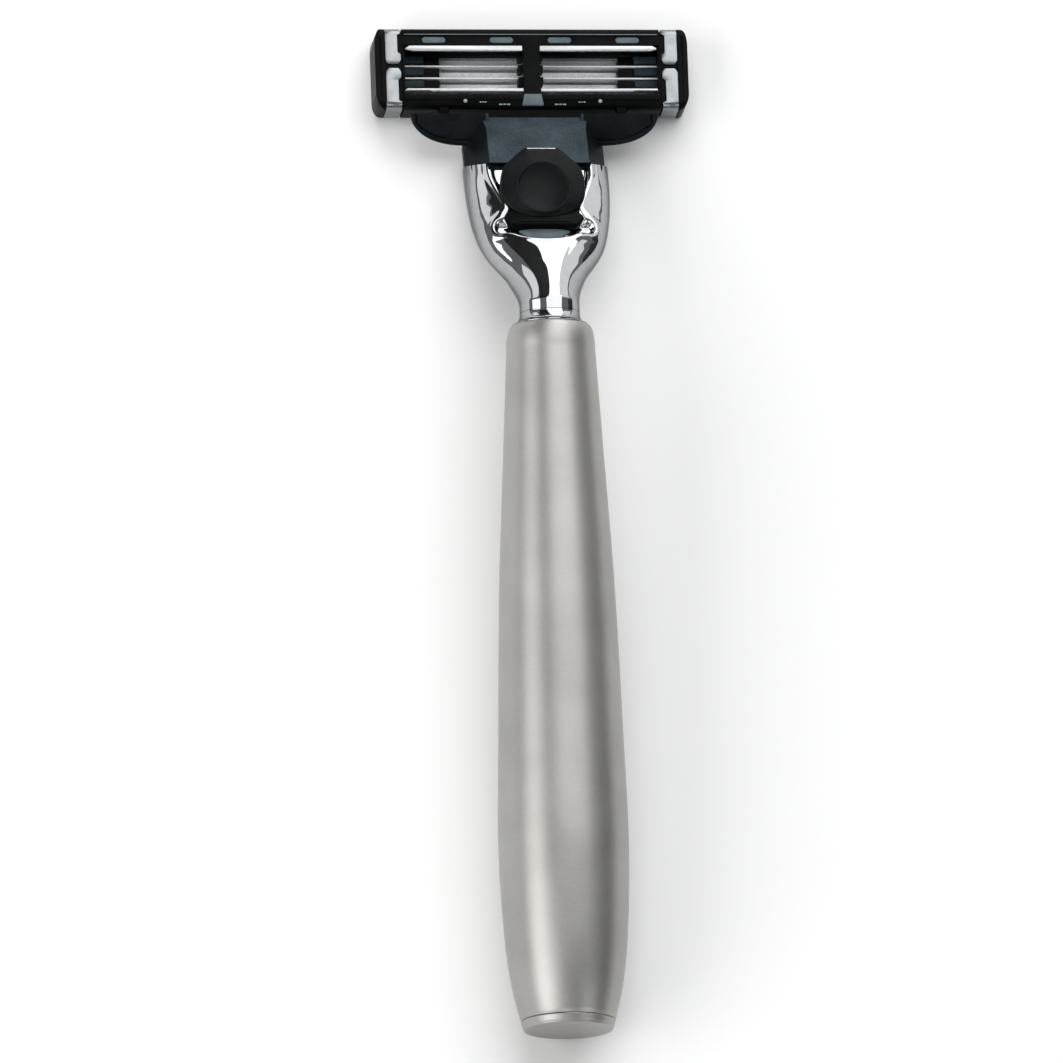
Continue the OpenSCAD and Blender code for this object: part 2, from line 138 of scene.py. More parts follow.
def prism(profile, low, high, axis, matrix, name="prism"):
    """A profile drawn out along x, y or z. It is given in the other two axes, in their order."""
    def point(p, h):
        return {"x": (h, p[0], p[1]), "y": (p[0], h, p[1]), "z": (p[0], p[1], h)}[axis]

    n = len(profile)
    points = [point(p, low) for p in profile] + [point(p, high) for p in profile]
    faces = [tuple(range(n)), tuple(range(2 * n - 1, n - 1, -1))]
    faces += [(k + n, (k + 1) % n + n, (k + 1) % n, k) for k in range(n)]
    obj = mesh_object(name, points, faces, matrix)
    fix_normals(obj)
    return obj


def fix_normals(obj):
    """Turns all faces outwards."""
    bm = bmesh.new()
    bm.from_mesh(obj.data)
    bmesh.ops.recalc_face_normals(bm, faces=bm.faces)
    bm.to_mesh(obj.data)
    bm.free()


def box(low, high, matrix, name="box"):
    """A block between two opposite corners in mm."""
    corners = [(low[1], low[2]), (high[1], low[2]), (high[1], high[2]), (low[1], high[2])]
    return prism(corners, low[0], high[0], "x", matrix, name)


def mirrored(low, high):
    """The same box on the other side of the object."""
    return (-high[0], low[1], low[2]), (-low[0], high[1], high[2])


def both_sides(low, high, matrix):
    return [box(low, high, matrix), box(*mirrored(low, high), matrix)]


def combine(base, others, operation):
    """Boolean of base with each of the others, which are then removed."""
    for other in others:
        modifier = base.modifiers.new("combine", "BOOLEAN")
        modifier.operation, modifier.solver, modifier.object = operation, "EXACT", other
        bake(base)
        remove(other)
    return base


def remove(obj):
    mesh = obj.data
    bpy.data.objects.remove(obj)
    bpy.data.meshes.remove(mesh)


def bake(obj):
    """Turns the modifiers into mesh."""
    graph = bpy.context.evaluated_depsgraph_get()
    mesh = bpy.data.meshes.new_from_object(obj.evaluated_get(graph))
    old, obj.data = obj.data, mesh
    obj.modifiers.clear()
    bpy.data.meshes.remove(old)


def bevel(obj, width, segments=3, angle=30, smooth_angle=40):
    """Rounds the edges by width in mm."""
    modifier = obj.modifiers.new("bevel", "BEVEL")
    modifier.width, modifier.segments = width * MM, segments
    modifier.limit_method, modifier.angle_limit = "ANGLE", math.radians(angle)
    modifier.miter_outer = "MITER_ARC"
    modifier.use_clamp_overlap = True
    bake(obj)
    shade(obj.data, smooth_angle)
    return obj


def merge(base, others):
    """Puts several meshes in one object, without a boolean."""
    bm = bmesh.new()
    bm.from_mesh(base.data)
    for other in others:
        bm.from_mesh(other.data)
        remove(other)
    bm.to_mesh(base.data)
    bm.free()
    return base


def rounded_rectangle(w0, w1, h0, h1, r, steps=8):
    """Outline of a rectangle with rounded corners."""
    outline = []
    corners = ((w1 - r, h1 - r, 0), (w0 + r, h1 - r, 90), (w0 + r, h0 + r, 180), (w1 - r, h0 + r, 270))
    for cx, cy, start in corners:
        for k in range(steps + 1):
            a = math.radians(start + 90 * k / steps)
            outline.append((cx + r * math.cos(a), cy + r * math.sin(a)))
    return outline


# ---- Materials ----
class Nodes:
    """A material's node tree with its shader and object coordinates."""

    def __init__(self, name):
        self.material = bpy.data.materials.new(name)
        self.material.use_nodes = True
        self.tree = self.material.node_tree
        self.shader = self.tree.nodes["Principled BSDF"]
        self.coordinates = self.tree.nodes.new("ShaderNodeTexCoord").outputs["Object"]

    def link(self, source, target):
        self.tree.links.new(source, target)

    def noise(self, size, detail=4, stretch=(1, 1, 1)):
        """Noise with features of this size in mm; stretch makes them longer along an axis."""
        mapping = self.tree.nodes.new("ShaderNodeMapping")
        mapping.inputs["Scale"].default_value = tuple(1 / (size * MM * s) for s in stretch)
        self.link(self.coordinates, mapping.inputs["Vector"])
        noise = self.tree.nodes.new("ShaderNodeTexNoise")
        noise.inputs["Scale"].default_value = 1.0
        noise.inputs["Detail"].default_value = detail
        self.link(mapping.outputs["Vector"], noise.inputs["Vector"])
        return noise.outputs["Fac"]

    def between(self, factor, low, high):
        """A number that runs from low to high as the noise goes from 0.3 to 0.7."""
        scale = self.tree.nodes.new("ShaderNodeMapRange")
        scale.inputs["From Min"].default_value = 0.3
        scale.inputs["From Max"].default_value = 0.7
        scale.inputs["To Min"].default_value = low
        scale.inputs["To Max"].default_value = high
        self.link(factor, scale.inputs["Value"])
        return scale.outputs["Result"]

    def average(self, first, second):
        """The middle between two noises."""
        total = self.tree.nodes.new("ShaderNodeMath")
        total.operation = "ADD"
        self.link(first, total.inputs[0])
        self.link(second, total.inputs[1])
        half = self.tree.nodes.new("ShaderNodeMath")
        half.operation = "MULTIPLY"
        half.inputs[1].default_value = 0.5
        self.link(total.outputs[0], half.inputs[0])
        return half.outputs[0]

    def ramp(self, factor, colours, positions):
        """Colours by the noise's value, which each position gives."""
        ramp = self.tree.nodes.new("ShaderNodeValToRGB")
        stops = ramp.color_ramp.elements
        for k, (colour, position) in enumerate(zip(colours, positions)):
            stop = stops[k] if k < 2 else stops.new(position)
            stop.position, stop.color = position, (*colour, 1)
        self.link(factor, ramp.inputs["Fac"])
        return ramp.outputs["Color"]

    def bumps(self, layers):
        """Layers of (height, depth in mm)."""
        normal = None
        for height, depth in layers:
            bump = self.tree.nodes.new("ShaderNodeBump")
            bump.inputs["Strength"].default_value = 1.0
            bump.inputs["Distance"].default_value = depth * MM
            self.link(height, bump.inputs["Height"])
            if normal is not None:
                self.link(normal, bump.inputs["Normal"])
            normal = bump.outputs["Normal"]
        self.link(normal, self.shader.inputs["Normal"])


def finish_material(name, dark, light, metallic, rough, grain, bump, cloud,
                    specks=None, specular=0.5, stretch=(1, 1, 1), edge=1.0):
    """A finish with fine grain and broad clouds, whose sizes and bump depth are in mm.

    dark to light is the colour's range, and specks a third, rarer colour. rough is (low, high).
    edge darkens the reflection at grazing angles."""
    n = Nodes(name)
    fine = n.noise(grain, 3, stretch)
    broad = n.noise(cloud, 3, stretch)
    colours, positions = [dark, light], [0.38, 0.62]
    if specks:
        colours, positions = [dark, light, specks], [0.36, 0.62, 0.72]
    n.link(n.ramp(n.average(fine, broad), colours, positions), n.shader.inputs["Base Color"])
    n.link(n.between(fine, *rough), n.shader.inputs["Roughness"])
    n.shader.inputs["Metallic"].default_value = metallic
    n.shader.inputs["Specular IOR Level"].default_value = specular
    n.shader.inputs["Specular Tint"].default_value = (edge, edge, edge, 1)
    n.bumps([(fine, bump), (broad, bump * 1.5)])
    return n.material


# Each finish has its colours from dark to light, metallic, roughness from smooth to rough,
# then the grain's size, the bumps' depth and the clouds' size in mm.
FINISHES = {
    "satin_metal": (
        ((0.335, 0.33, 0.318), (0.40, 0.394, 0.382), 1.0, (0.36, 0.46), 0.16, 0.006, 9),
        dict(),
    ),
    "polished_chrome": (
        ((0.37, 0.378, 0.385), (0.405, 0.413, 0.42), 1.0, (0.03, 0.06), 0.9, 0.0006, 7),
        dict(edge=0.4),
    ),
    "steel": (((0.42, 0.42, 0.44), (0.55, 0.55, 0.57), 1.0, (0.22, 0.32), 0.3, 0.002, 3), dict()),
    "blade_steel": (
        ((0.34, 0.35, 0.355), (0.50, 0.51, 0.515), 1.0, (0.26, 0.40), 0.12, 0.003, 2),
        dict(stretch=(6, 1, 1)),
    ),
    "clip_aluminium": (
        ((0.20, 0.215, 0.225), (0.29, 0.305, 0.315), 1.0, (0.22, 0.32), 0.12, 0.003, 2),
        dict(),
    ),
    "black_plastic": (
        ((0.0014, 0.0016, 0.0016), (0.004, 0.0045, 0.0045), 0.0, (0.3, 0.44), 0.12, 0.006, 3),
        dict(specular=0.045),
    ),
    "button_plastic": (
        ((0.0025, 0.003, 0.0033), (0.007, 0.0085, 0.009), 0.0, (0.30, 0.42), 0.10, 0.012, 4),
        dict(specks=(0.03, 0.036, 0.04), specular=0.09),
    ),
    "grey_plastic": (
        ((0.016, 0.027, 0.033), (0.046, 0.068, 0.080), 0.0, (0.42, 0.58), 0.2, 0.016, 4),
        dict(specular=0.1),
    ),
    # The next finish is a darker copy of grey_plastic that paints shade on the hood's sides, its rim and the
    # wings.
    "painted_shade_plastic": (
        ((0.0025, 0.0038, 0.0046), (0.009, 0.013, 0.0155), 0.0, (0.34, 0.48), 0.14, 0.014, 4),
        dict(specular=0.07),
    ),
    "pale_plastic": (
        ((0.07, 0.10, 0.11), (0.14, 0.18, 0.195), 0.0, (0.42, 0.58), 0.14, 0.012, 4),
        dict(specular=0.2),
    ),
    # The next finish is a near-white, mostly diffuse copy of steel that paints the light the support plates catch
    # in the windows.
    "painted_sheen_steel": (
        ((0.62, 0.64, 0.645), (0.92, 0.94, 0.945), 0.25, (0.4, 0.55), 0.12, 0.006, 2),
        dict(stretch=(3, 1, 1)),
    ),
    # The next finish is a pale blue-grey that paints highlights on the housing's small marks.
    "painted_glint_marks": (((0.16, 0.22, 0.27), (0.3, 0.36, 0.4), 0.0, (0.4, 0.5), 0.1, 0.004, 2), dict()),
    # The next finish is a pale grey that paints a highlight on the button's top edge.
    "painted_highlight_edge": (((0.5, 0.5, 0.5), (0.75, 0.75, 0.75), 0.0, (0.3, 0.4), 0.3, 0.001, 4), dict()),
    "guard_rubber": (((0.012, 0.014, 0.016), (0.03, 0.034, 0.038), 0.0, (0.55, 0.7), 0.2, 0.01, 3), dict()),
    "strip_polymer": (((0.42, 0.55, 0.57), (0.58, 0.72, 0.74), 0.0, (0.35, 0.5), 0.4, 0.01, 3), dict()),
}
MATERIALS = {
    name: finish_material(name, *values, **options) for name, (values, options) in FINISHES.items()
}


def piece(obj, name, body, slot, *nodes, look=None):
    """Makes obj one of the part's pieces. look is its finish, if it isn't the slot's own."""
    obj.name = name
    obj.data.name = name
    obj.data.materials.clear()
    obj.data.materials.append(MATERIALS[look or slot])
    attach(obj, body)
    if nodes:
        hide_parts(*nodes)
    return obj


# ---- Handle: sleeve, end cap and collar ----
BUTT_R, SHOULDER_R, HANDLE_L = 5.95, 5.2, 95.3
# Distances from the end face, and the handle's radius at each.
STATIONS_S = (0, 6.2, 13, 24.5, 40, 60, 80, 92)
STATIONS_R = (BUTT_R, 7.4, 8.2, 8.66, 8.3, 7.67, 6.58, 5.93)
CAP_L, COLLAR_TOP, NECK_R, EDGE_R = 1.24, 97.1, 4.0, 0.09


def side_radius(s):
    """The handle's radius at a distance from its end face."""
    return float(smooth_curve(STATIONS_S, STATIONS_R, [s])[0])


def edge_rounding(r, s, radius, inwards, upwards, steps=5):
    """Points of a small rounded edge. It starts on the end plane, if inwards, and ends on the side."""
    points = []
    for k in range(steps + 1):
        a = math.pi / 2 * k / steps
        points.append((r - radius + radius * math.sin(a), s + upwards * (radius - radius * math.cos(a))))
    return points if inwards else points[::-1]


def make_sleeve():
    """The turned sleeve, from a fine seam at the cap to its rounded shoulder."""
    bore_r, seam, shoulder_steps = 1.0, 0.05, 24
    profile = [(bore_r, CAP_L + seam)]
    profile += edge_rounding(side_radius(CAP_L), CAP_L + seam, EDGE_R, True, 1)
    profile += [(side_radius(s), s) for s in np.linspace(CAP_L + 0.2, STATIONS_S[-1], 170)]
    shoulder_from, shoulder_r = STATIONS_S[-1], STATIONS_R[-1]
    for k in range(1, shoulder_steps + 1):
        a = math.pi / 2 * k / shoulder_steps
        profile.append((SHOULDER_R + (shoulder_r - SHOULDER_R) * math.cos(a),
                        shoulder_from + (HANDLE_L - shoulder_from) * math.sin(a)))
    profile.append((bore_r, HANDLE_L))
    return revolve("sleeve", profile, HANDLE, 256)


def make_cap():
    """The screwed cap: a flat face with a shallow turned recess and a rounded rim."""
    rim_round = 0.25
    rim_r = BUTT_R - rim_round
    spigot_r, spigot_to = 4.2, 9.2
    profile = [(0.3, 0.16), (1.6, 0.15), (2.9, 0.12), (rim_r - 1.1, 0.1), (rim_r - 0.85, 0.03)]
    profile += [(rim_r - 0.75, 0.0), (rim_r - 0.05, 0.0), (rim_r + 0.05, 0.02)]
    for a in np.linspace(0.5, math.pi / 2, 6):
        profile.append((rim_r + rim_round * math.sin(a), rim_round - rim_round * math.cos(a)))
    profile += [(side_radius(s), s) for s in np.linspace(0.35, CAP_L - 0.12, 6)]
    profile += edge_rounding(side_radius(CAP_L), CAP_L - 0.01, EDGE_R, False, -1)
    profile += [(spigot_r + 0.1, CAP_L - 0.01), (spigot_r, spigot_to)]
    return revolve("cap", profile, HANDLE, 256)


def make_collar():
    """Concave from the handle's shoulder to the neck, with a bright bead at its foot."""
    bore_r, bead_r, steps = 2.1, 0.12, 28
    foot_r, foot = SHOULDER_R - 0.1, HANDLE_L + 0.04
    profile = [(bore_r, foot)] + edge_rounding(foot_r, foot, bead_r, True, 1)
    for k in range(steps):
        a = math.pi / 2 * (k + 1) / steps
        height = COLLAR_TOP - (COLLAR_TOP - foot - 0.2) * math.cos(a)
        profile.append((foot_r - (foot_r - NECK_R) * math.sin(a), height))
    profile.append((bore_r, COLLAR_TOP))
    return revolve("collar", profile, HANDLE)


piece(make_sleeve(), "handle_sleeve_skin", "handle", "satin_metal", "handle_sleeve")
piece(make_cap(), "end_cap_skin", "handle", "satin_metal", "end_cap")
piece(make_collar(), "neck_collar_skin", "handle", "polished_chrome", "neck_collar")

# ---- Fork ----
BEND = 29.0
FORK_TOP, SLANT, ARM_BACK = 21.2, 35.0, -4.6
ARM_TOP = FORK_TOP - ARM_BACK * math.tan(math.radians(SLANT))
FLOOR_Y = -2.43
# Above this height the rings tip over towards the arms' slanted end.
SHEAR_FROM = 15.0
# The ledges beside the slide rise towards the hood.
LEDGE_Y = (-2.9, -3.68)
# The pocket is a cavity that widens towards the hood, a slot across its lower end and a curved lip.
CAVITY_Z, CAVITY_HW, CAVITY_WIDENS = 12.0, 4.5, 2.15
SLOT_HW, SLOT_Z, SLOT_R = 5.75, 11.15, 1.12
LIP_HW, LIP_Z, LIP_H = 5.6, 11.8, 3.2
# Stations: distance from the bend, half width, half thickness, squareness, lean.
FORK_STATIONS = (
    (-1.05, 4.0, 4.0, 2.0, BEND), (-0.4, 4.0, 4.0, 2.0, BEND * 0.86), (0.4, 4.02, 3.98, 2.0, BEND * 0.66),
    (1.4, 4.15, 3.9, 2.0, BEND * 0.4), (2.8, 4.5, 3.8, 2.05, BEND * 0.14), (4.2, 5.0, 3.75, 2.1, 0),
    (5.6, 5.6, 3.8, 2.15, 0), (7, 6.45, 3.85, 2.2, 0), (8.4, 7.35, 3.9, 2.25, 0), (9.8, 8.05, 4.0, 2.35, 0),
    (11.3, 8.55, 4.1, 2.5, 0), (12.8, 8.9, 4.2, 2.6, 0), (15, 9.25, 4.3, 2.8, 0), (18, 9.5, 4.3, 3.0, 0),
    (FORK_TOP, 9.6, 4.3, 3.2, 0), (ARM_TOP, 9.6, 4.3, 3.2, 0),
)


def even_ring(half_w, half_t, squareness, count):
    """A superellipse with its points spaced evenly along it."""
    a = np.linspace(0, math.tau, 1441)
    x = half_w * np.sign(np.cos(a)) * np.abs(np.cos(a)) ** (2 / squareness)
    y = half_t * np.sign(np.sin(a)) * np.abs(np.sin(a)) ** (2 / squareness)
    length = np.concatenate([[0], np.cumsum(np.hypot(np.diff(x), np.diff(y)))])
    at = np.linspace(0, length[-1], count, endpoint=False)
    return np.interp(at, length, x), np.interp(at, length, y)


def smooth_min(a, b, blend):
    """The smaller of two distances, blended where they are nearly the same."""
    h = np.clip(0.5 + 0.5 * (b - a) / blend, 0, 1)
    return b * (1 - h) + a * h - blend * h * (1 - h)


def pocket_distance(x, z):
    """Signed distance to the pocket's outline on the back of the fork, negative inside."""
    ax = np.abs(x)
    cavity_hw = CAVITY_HW + CAVITY_WIDENS * smoothstep((z - CAVITY_Z - 0.2) / 8.5)
    cavity = np.maximum(ax - cavity_hw, CAVITY_Z - z)
    slot = np.hypot(np.maximum(ax - SLOT_HW, 0), z - SLOT_Z) - SLOT_R
    lip = (np.hypot(x / LIP_HW, (z - LIP_Z) / LIP_H) - 1) * 3.1
    return smooth_min(smooth_min(cavity, slot, 0.7), lip, 0.5)


def make_fork():
    """Rings from the bent neck to the slanted ends of the arms, pressed in at the pocket."""
    rings, around = 230, 440
    stations = np.array(FORK_STATIONS)
    points = []
    for z in np.linspace(stations[0, 0], stations[-1, 0], rings):
        half_w, half_t, squareness, degrees = (
            float(smooth_curve(stations[:, 0], stations[:, k], [z])[0]) for k in (1, 2, 3, 4))
        x, y = even_ring(half_w, half_t, squareness, around)
        lean = math.radians(degrees)
        centre_y = -z * math.sin(math.radians(BEND)) if z < 0 else 0.0
        centre_z = z * math.cos(math.radians(BEND)) if z < 0 else z
        py, pz = centre_y + y * math.cos(lean), centre_z + y * math.sin(lean)
        # The arms end at a slant: the rings tip over towards it.
        end = np.clip(FORK_TOP + (py - ARM_BACK) * math.tan(math.radians(SLANT)), FORK_TOP, ARM_TOP)
        sheared = SHEAR_FROM + (pz - SHEAR_FROM) * (end - SHEAR_FROM) / (ARM_TOP - SHEAR_FROM)
        pz = np.where(pz > SHEAR_FROM, sheared, pz)
        back = smoothstep((-y / half_t - 0.02) / 0.2)
        d = pocket_distance(x, pz)
        down = smoothstep((-d + 0.05) / 0.75) * back
        # A raised rim follows the pocket's edge, with a fainter swell outside it.
        rim = 0.16 * bump_at(d, 0.38, 0.36) + 0.06 * bump_at(d, 1.1, 0.5)
        rim = rim * back * smoothstep((pz - 7) / 2)
        ledge = smoothstep((np.abs(x) - CAVITY_HW) / 0.3) * smoothstep((pz - 13.3) / 1.5)
        ledge_y = LEDGE_Y[0] + (LEDGE_Y[1] - LEDGE_Y[0]) * np.clip((pz - 14) / 7.4, 0, 1.1)
        floor = FLOOR_Y + (ledge_y - FLOOR_Y) * ledge
        py = py * (1 - down) + floor * down - np.minimum(rim, np.maximum(py + 4.5, 0))
        points.extend(zip(x, py, pz))
    faces = grid_faces(rings, around)
    faces.append(tuple(range(around))[::-1])
    faces.append(tuple((rings - 1) * around + k for k in range(around)))
    return mesh_object("fork", points, faces, FORK, 60)


piece(make_fork(), "fork_head_skin", "handle", "polished_chrome", "fork_head")


def make_lens_reflection():
    """A pale lens on the pocket's floor, under the slide: a painted reflection in the pocket's recess."""
    half_w, tip_z, low_z = 3.5, 11.0, 9.3
    lower = [(half_w * t, low_z + (tip_z - low_z) * t * t) for t in np.linspace(-1, 1, 33)]
    upper = [(half_w * t, tip_z + 0.5 * (1 - t * t)) for t in np.linspace(1, -1, 33)[1:-1]]
    lens = prism(lower + upper, FLOOR_Y - 0.2, FLOOR_Y + 0.1, "y", FORK, "lens")
    return bevel(lens, 0.08, 2, 50)


# The lens's pale finish paints the reflection there.
piece(make_lens_reflection(), "painted_lens_reflection", "handle", "grey_plastic", look="pale_plastic")

# ---- Release button and slide ----
BUTTON_Y, BUTTON_Z, BUTTON_SLOPE = -5.7, 16.2, 20.0
BUTTON_HW, BUTTON_UP, BUTTON_DOWN, BUTTON_FLAT_HW = 5.7, 5.85, 4.15, 2.27
BUTTON_TURN = Matrix.Rotation(math.radians(90 + BUTTON_SLOPE), 4, "X")
BUTTON = FORK @ Matrix.Translation((0, BUTTON_Y, BUTTON_Z)) @ BUTTON_TURN
SLIDE_BACK = -3.7
HOOD_BACK = -4.6


def power(value, exponent):
    """A power that keeps the value's sign."""
    return math.copysign(abs(value) ** exponent, value)


def button_outline(a):
    """Round below, with a flat top edge and two chamfers."""
    fullness, chamfer_slope = 0.88, 0.9
    x = BUTTON_HW * power(math.cos(a), fullness)
    y = (BUTTON_UP + 0.35 if a < math.pi else BUTTON_DOWN) * power(math.sin(a), fullness)
    return x, min(y, BUTTON_UP, BUTTON_UP - chamfer_slope * (abs(x) - BUTTON_FLAT_HW))


def make_button():
    """A round thumb dish with a raised ridge, then a slope to the rounded edge and a straight skirt."""
    around = 288
    ridge_r, ridge_at = 3.5, 0.62
    dish_depth, dish_rise, dish_end = 0.75, 0.62, 0.6
    cone_start, cone_depth, cone_fall, cone_span = 0.67, 0.11, 0.42, 0.27
    # Fractions of the way from the middle to the outline, and the height at each.
    inside = [(f, -dish_depth + dish_rise * (f / dish_end) ** 2) for f in np.linspace(0.02, 0.58, 18)]
    ridge = [(dish_end, -0.085), (0.615, -0.04), (0.63, -0.03), (0.65, -0.06), (cone_start, -cone_depth)]
    cone = [(f, -cone_depth - cone_fall * (f - cone_start) / cone_span) for f in np.linspace(0.69, 0.93, 8)]
    edge = [(0.955, -0.58), (0.975, -0.66), (0.99, -0.80), (1.0, -1.0), (1.0, -1.3)]
    edge += [(0.995, -1.7), (0.99, -2.1)]
    rows = inside + ridge + cone + edge
    points = []
    outline = [button_outline(math.tau * k / around) for k in range(around)]
    for f, height in rows:
        for k in range(around):
            x, y = outline[k]
            a = math.atan2(y, x)
            # Near the middle the rows are circles; they take the outline's shape towards the edge.
            blend = float(smoothstep((f - ridge_at) / 0.3))
            r = ridge_r * f / ridge_at * (1 - blend)
            points.append((x * f * blend + r * math.cos(a), y * f * blend + r * math.sin(a), height))
    faces = grid_faces(len(rows), around, flip=True)
    faces.append(tuple(range(around)))
    # The skirt goes straight down to just above the slide.
    skirt = len(points)
    to_fork = FORK.inverted() @ BUTTON
    for x, y in outline:
        p = to_fork @ Vector((x * 0.985, y * 0.985, -2.2))
        # The lip in front of the hood ends higher, on the hood's back.
        lip = smoothstep((p.z - FORK_TOP + 0.6) / 0.5)
        foot_y = SLIDE_BACK - 0.03 + (HOOD_BACK - 0.42 - SLIDE_BACK) * lip
        points.append(tuple(to_fork.inverted() @ Vector((p.x, foot_y, p.z))))
    last = (len(rows) - 1) * around
    for k in range(around):
        faces.append((last + k, skirt + k, skirt + (k + 1) % around, last + (k + 1) % around))
    faces.append(tuple(skirt + k for k in range(around))[::-1])
    return mesh_object("button", points, faces, BUTTON, 50)


def make_slide():
    """The plate under the button, with a grip rib and the tabs that the springs push."""
    hw, top_hw, bottom, top = 5.3, 4.4, 11.3, 21.9
    right = [(hw - 1, bottom), (hw, bottom + 1), (hw, 13.0), (top_hw, 14.2), (top_hw, top)]
    outline = right + [(-x, z) for x, z in reversed(right)]
    base = prism(outline, SLIDE_BACK, FLOOR_Y - 0.03, "y", FORK, "slide")
    rib = box((-3.6, SLIDE_BACK - 0.12, bottom + 0.35), (3.6, SLIDE_BACK + 0.05, bottom + 0.55), FORK)
    tabs = both_sides((2.5, FLOOR_Y - 0.5, 11.5), (3.9, FLOOR_Y + 1.4, 12.4), FORK)
    bevel(base, 0.18, 3)
    return merge(base, [rib] + tabs)


def paint_top_edge_highlight(button):
    """The button's flat top edge gets a pale grey finish: a painted highlight where the edge catches the light."""
    button.data.materials.append(MATERIALS["painted_highlight_edge"])
    inverse = BUTTON.inverted()
    for face in button.data.polygons:
        at = inverse @ face.center
        if at.y > BUTTON_UP * 0.945 and abs(at.x) < BUTTON_FLAT_HW * 0.82 and at.z > -0.9:
            face.material_index = 1


button = piece(make_button(), "release_button_skin", "ejector", "button_plastic", "release_button")
paint_top_edge_highlight(button)
piece(make_slide(), "ejector_slide_skin", "ejector", "black_plastic", "ejector_slide")

# ---- Interconnect: hood, wings, rails ----
PIVOT_FORK = FORK.inverted() @ PIVOT.translation
HOOD_BOTTOM, HOOD_FRONT = FORK_TOP + 0.2, 4.1
HOOD_EDGE_Z, HOOD_TOP_Y, HOOD_TOP_Z = 27.5, -4.0, 29.94
HOOD_HW, HOOD_BACK_HW, SWEEP_R = 9.4, 6.7, 5.6
WING_IN, WING_R, WING_HW, WING_VIEW, WING_FROM, WING_TO = 5.7, 6.6, 16.6, 40.0, 15.0, 57.0
NOSE_HW, NOSE_FRONT, NOSE_TOP = 6.8, 1.3, 27.2
RAIL_X0, RAIL_X1, RAIL_IN, RAIL_OUT = 11.3, 12.5, 4.0, 4.7


def cylinder_about_pivot(radius, half_w, sides=96):
    """The space that the cartridge sweeps as it tips."""
    angles = [math.tau * k / sides for k in range(sides)]
    circle = [(radius * math.cos(a), radius * math.sin(a)) for a in angles]
    return prism(circle, -half_w, half_w, "x", PIVOT, "sweep")


def make_hood():
    """The cover over the nose: flat at the back, slanted sides, hollow inside and round the pivot."""
    side = [(HOOD_BACK, HOOD_BOTTOM), (HOOD_BACK, HOOD_EDGE_Z), (HOOD_TOP_Y, HOOD_TOP_Z),
            (HOOD_FRONT, PIVOT_FORK.z), (HOOD_FRONT, ARM_TOP + 0.2), (0, ARM_TOP + 0.2)]
    hood = prism(side, -HOOD_HW, HOOD_HW, "x", FORK, "hood")
    right = [(HOOD_BACK_HW, HOOD_BACK), (HOOD_HW, -0.4), (HOOD_HW, 0.8), (HOOD_BACK_HW, HOOD_FRONT)]
    plan = right + [(-x, y) for x, y in reversed(right)]
    combine(hood, [prism(plan, 0, 40, "z", FORK, "plan")], "INTERSECT")
    floor_cut = box((-30, -60, -40), (30, 40, 0.35), PIVOT)
    gap = 0.25
    nose = box((-NOSE_HW - gap, FLOOR_Y - gap, 0), (NOSE_HW + gap, NOSE_FRONT + gap, NOSE_TOP + gap), FORK)
    combine(hood, [cylinder_about_pivot(SWEEP_R, 20), floor_cut, nose], "DIFFERENCE")
    return bevel(hood, 0.28, 3, 25, 34)


def make_wing(side):
    """One wing: a shell round the pivot with a rounded rim and a fine groove inside it."""
    along, across = 90, 60
    top = WING_R * math.sin(math.radians(WING_VIEW - WING_FROM))
    drop = top + WING_R * math.sin(math.radians(WING_TO - WING_VIEW))
    inner_x, rim_r = HOOD_BACK_HW - 0.5, 0.45
    groove_depth, groove_at, groove_w = 0.3, 1.0, 0.17
    span = WING_HW - HOOD_HW
    outer, inner = [], []
    for i in range(along):
        t = i / (along - 1)
        x = inner_x + (WING_HW - inner_x) * math.sin(t * math.pi / 2)
        edge_v = top - drop * math.sqrt(max(1 - (max(x - HOOD_HW, 0) / span) ** 2, 0))
        to_angle = WING_VIEW + math.degrees(math.asin(min(max(-edge_v / WING_R, -1), 1)))
        for k in range(across):
            f = k / (across - 1)
            angle = WING_FROM + (to_angle - WING_FROM) * f
            # Distance from the rim, which is rounded.
            gap = min(math.radians(to_angle - angle) * WING_R, (WING_HW - x) * 1.2)
            rounded = rim_r * (1 - math.sqrt(max(1 - (1 - min(gap / rim_r, 1)) ** 2, 0)))
            groove = groove_depth * float(bump_at(gap, groove_at, groove_w))
            r = WING_R - rounded - groove
            a = math.radians(angle)
            outer.append((side * x, -r * math.sin(a), r * math.cos(a)))
            inner.append((side * x, -WING_IN * math.sin(a), WING_IN * math.cos(a)))
    points = outer + inner
    offset = len(outer)
    faces = grid_faces(along, across, closed=False)
    faces += grid_faces(along, across, closed=False, flip=True, start=offset)
    rim = [i * across + across - 1 for i in range(along)]
    brim = [i * across for i in range(along)]
    foot = list(range(across))
    tip = [(along - 1) * across + k for k in range(across)]
    for line in (rim, brim, foot, tip):
        for a, b in zip(line, line[1:]):
            faces.append((a, b, b + offset, a + offset))
    wing = mesh_object("wing", points, faces, PIVOT, 50)
    fix_normals(wing)
    shade(wing.data, 50)
    return wing


def arc_profile(r_in, r_out, from_a, to_a, steps=20):
    """Outline of a curved rail about the pivot, between two angles in degrees."""
    angles = [math.radians(from_a + (to_a - from_a) * k / steps) for k in range(steps + 1)]
    outside = [(-r_out * math.sin(a), r_out * math.cos(a)) for a in angles]
    return outside + [(-r_in * math.sin(a), r_in * math.cos(a)) for a in reversed(angles)]


def make_rails():
    """Two curved rails that the cartridge turns on, each with a foot that joins it to the wing."""
    rail = arc_profile(RAIL_IN, RAIL_OUT, 4, 53)
    foot = arc_profile(RAIL_OUT - 0.01, SWEEP_R + 0.3, 48.5, 53)
    parts = []
    for x0, x1 in ((RAIL_X0, RAIL_X1), (-RAIL_X1, -RAIL_X0)):
        parts += [prism(outline, x0, x1, "x", PIVOT) for outline in (rail, foot)]
    return merge(parts[0], parts[1:])


